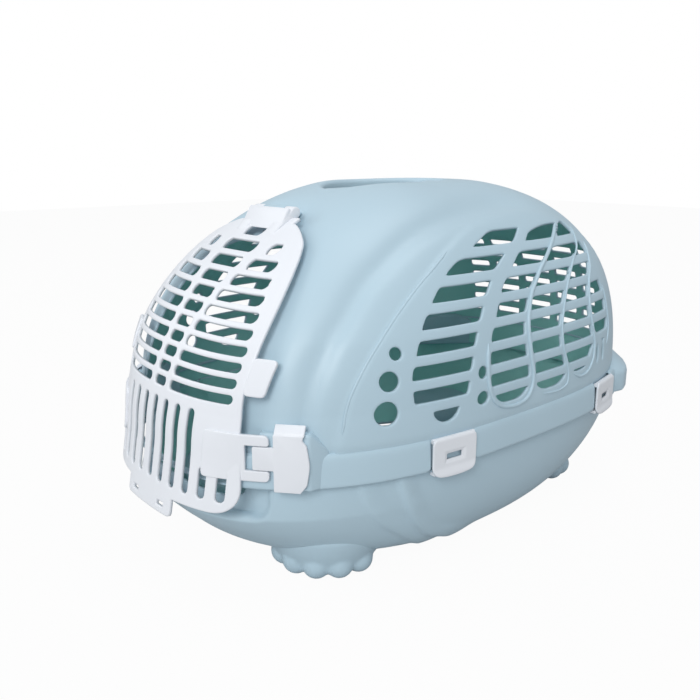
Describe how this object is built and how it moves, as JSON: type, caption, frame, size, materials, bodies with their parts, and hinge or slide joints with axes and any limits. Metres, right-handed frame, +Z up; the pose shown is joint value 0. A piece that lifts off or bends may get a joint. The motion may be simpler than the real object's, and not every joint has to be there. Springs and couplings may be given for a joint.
{
  "type": "pet carrier",
  "caption": "Domed two-part carrier for a small animal: vented shell clipped to a tub on moulded paws, with a lift-up slotted front door held by two sliding latches.",
  "frame": {"origin": "middle of the bounding box at floor level, under the paws", "axes": "+Z up, +Y from the door to the back, +X to the carrier's left as it faces forward, which is the right of someone who looks at the door"},
  "size_m": [0.326, 0.5089, 0.3],
  "materials": {
    "body_blue": "satin",
    "fittings_white": "satin"
  },
  "bodies": {
    "carrier": {"lower_tub": "body_blue", "upper_shell": "body_blue"},
    "door": {"front_door": "fittings_white"},
    "latch_right_body": {"latch_right": "fittings_white"},
    "latch_left_body": {"latch_left": "fittings_white"},
    "clip_front_right_body": {"clip_front_right": "fittings_white"},
    "clip_front_left_body": {"clip_front_left": "fittings_white"},
    "clip_rear_right_body": {"clip_rear_right": "fittings_white"},
    "clip_rear_left_body": {"clip_rear_left": "fittings_white"}
  },
  "joints": [
    {"name": "door_hinge", "type": "hinge", "parent": "carrier", "child": "door", "pos_m": [0, -0.12537, 0.278], "axis": [-1, 0, 0], "range_deg": [0, 105]},
    {"name": "latch_right_slide", "type": "slide", "parent": "carrier", "child": "latch_right_body", "axis": [0.7547, 0.6561, 0], "range_m": [0, 0.014]},
    {"name": "latch_left_slide", "type": "slide", "parent": "carrier", "child": "latch_left_body", "axis": [-0.7547, 0.6561, 0], "range_m": [0, 0.014]},
    {"name": "clip_front_right_hinge", "type": "hinge", "parent": "carrier", "child": "clip_front_right_body", "pos_m": [0.15511, -0.07678, 0.1166], "axis": [-0.1068, -0.9943, 0], "range_deg": [0, 100]},
    {"name": "clip_front_left_hinge", "type": "hinge", "parent": "carrier", "child": "clip_front_left_body", "pos_m": [-0.15511, -0.07678, 0.1166], "axis": [-0.1068, 0.9943, 0], "range_deg": [0, 100]},
    {"name": "clip_rear_right_hinge", "type": "hinge", "parent": "carrier", "child": "clip_rear_right_body", "pos_m": [0.1474, 0.13954, 0.1166], "axis": [0.2192, -0.9757, 0], "range_deg": [0, 100]},
    {"name": "clip_rear_left_hinge", "type": "hinge", "parent": "carrier", "child": "clip_rear_left_body", "pos_m": [-0.1474, 0.13954, 0.1166], "axis": [0.2192, 0.9757, 0], "range_deg": [0, 100]}
  ]
}
